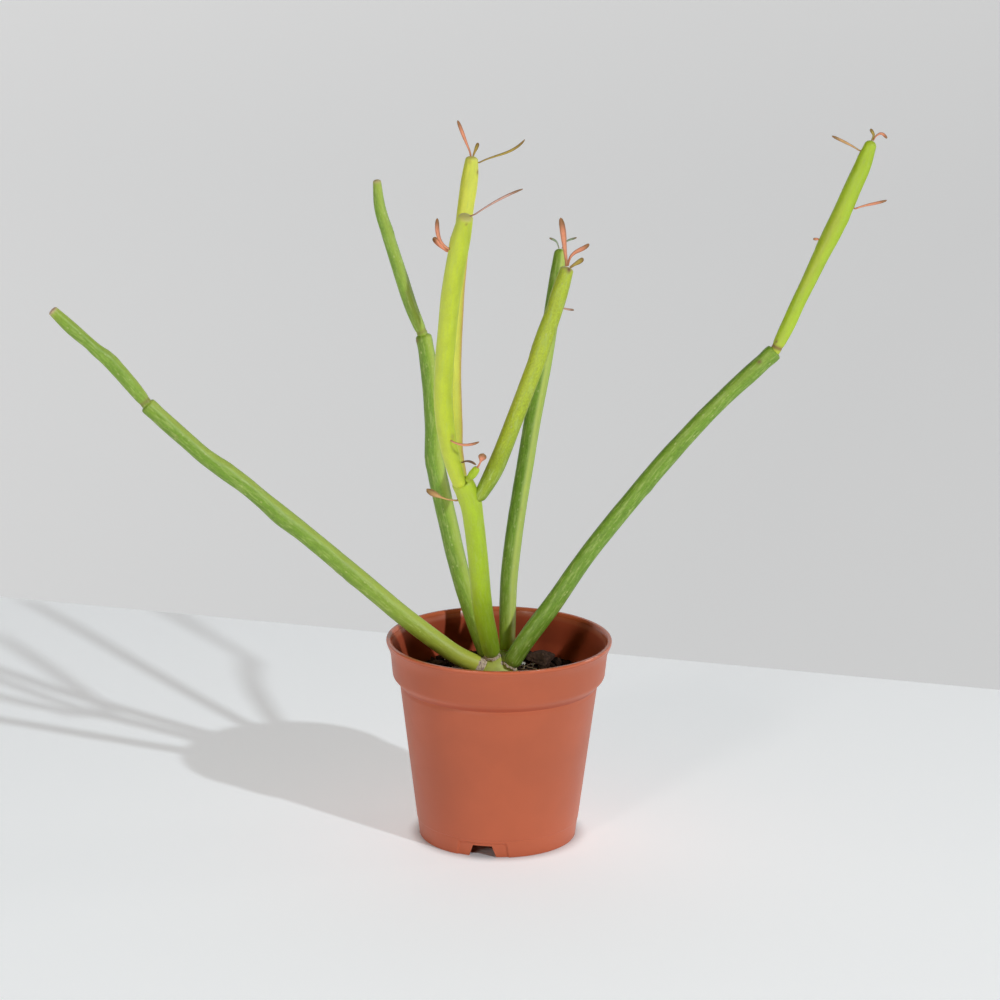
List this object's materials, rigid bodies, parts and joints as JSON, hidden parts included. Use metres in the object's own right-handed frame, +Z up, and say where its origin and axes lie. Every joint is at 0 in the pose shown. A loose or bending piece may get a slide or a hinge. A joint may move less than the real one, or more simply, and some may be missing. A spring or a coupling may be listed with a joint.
{
  "type": "potted euphorbia",
  "caption": "Leggy pencil-stemmed euphorbia with round green forking stems and tiny leaves at their tips, planted in a small tapered terracotta-coloured nursery pot.",
  "frame": {"origin": "on the surface that the pot stands on, under the middle of the whole plant's bounding box; the pot's axis stands at X = 8.6 mm, Y = 5.0 mm", "axes": "+Z up the pot's axis; +X across the spread of the stems, from the left arm's tip towards the right arm's; +Y away from the side that the front shoot leans towards"},
  "size_m": [0.2152, 0.0922, 0.1953],
  "materials": {
    "pot_plastic": "satin terracotta-brown moulded plastic with a soft sheen",
    "potting_mix": "dry crumbly dark brown potting mix, dull",
    "bark": "rough brown composted bark, dull",
    "perlite": "off-white, chalky and porous",
    "corky_crown": "pale yellow-green with beige corky rings, dull",
    "green_stem": "mid green waxy skin with fine lengthwise lines and pale speckles",
    "lime_stem": "bright yellow-green waxy skin, faint tan flushes",
    "yellow_stem": "lemon yellow-green waxy skin with a tan-orange flush down one side",
    "orange_leaf": "small fleshy leaf, orange-pink with a darker tip",
    "olive_leaf": "small fleshy leaf, olive to brown"
  },
  "bodies": {
    "root": {"back_arm": "green_stem", "back_arm_side_leaf": "orange_leaf", "back_arm_tip_leaf_left": "olive_leaf", "back_arm_tip_leaf_right": "olive_leaf", "back_left_arm_lower": "green_stem", "back_left_arm_upper": "green_stem", "bark_chunk_back": "bark", "bark_chunk_front": "bark", "bark_chunk_large": "bark", "bark_chunk_left": "bark", "bark_chunk_right": "bark", "bud_leaf": "orange_leaf", "crown": "corky_crown", "front_shoot_base_leaf": "olive_leaf", "front_shoot_left_leaf_a": "orange_leaf", "front_shoot_left_leaf_b": "orange_leaf", "front_shoot_low_leaf": "orange_leaf", "front_shoot_tip_leaf": "orange_leaf", "left_arm_lower": "green_stem", "left_arm_upper": "green_stem", "middle_arm_leaf": "orange_leaf", "middle_arm_lower": "lime_stem", "middle_bud": "lime_stem", "middle_front_shoot": "lime_stem", "middle_rear_shoot": "yellow_stem", "middle_side_shoot": "lime_stem", "perlite_grain_a": "perlite", "perlite_grain_b": "perlite", "perlite_grain_c": "perlite", "pot": "pot_plastic", "rear_shoot_side_leaf": "olive_leaf", "rear_shoot_tip_leaf": "orange_leaf", "rear_shoot_tip_stub_leaf": "olive_leaf", "right_arm_hook_leaf": "orange_leaf", "right_arm_left_leaf": "orange_leaf", "right_arm_lower": "green_stem", "right_arm_right_leaf": "orange_leaf", "right_arm_tip_leaf_left": "olive_leaf", "right_arm_tip_leaf_right": "orange_leaf", "right_arm_upper": "lime_stem", "side_shoot_tip_leaf_bent": "orange_leaf", "side_shoot_tip_leaf_short": "olive_leaf", "side_shoot_tip_leaf_tall": "orange_leaf", "soil": "potting_mix"}
  },
  "joints": []
}
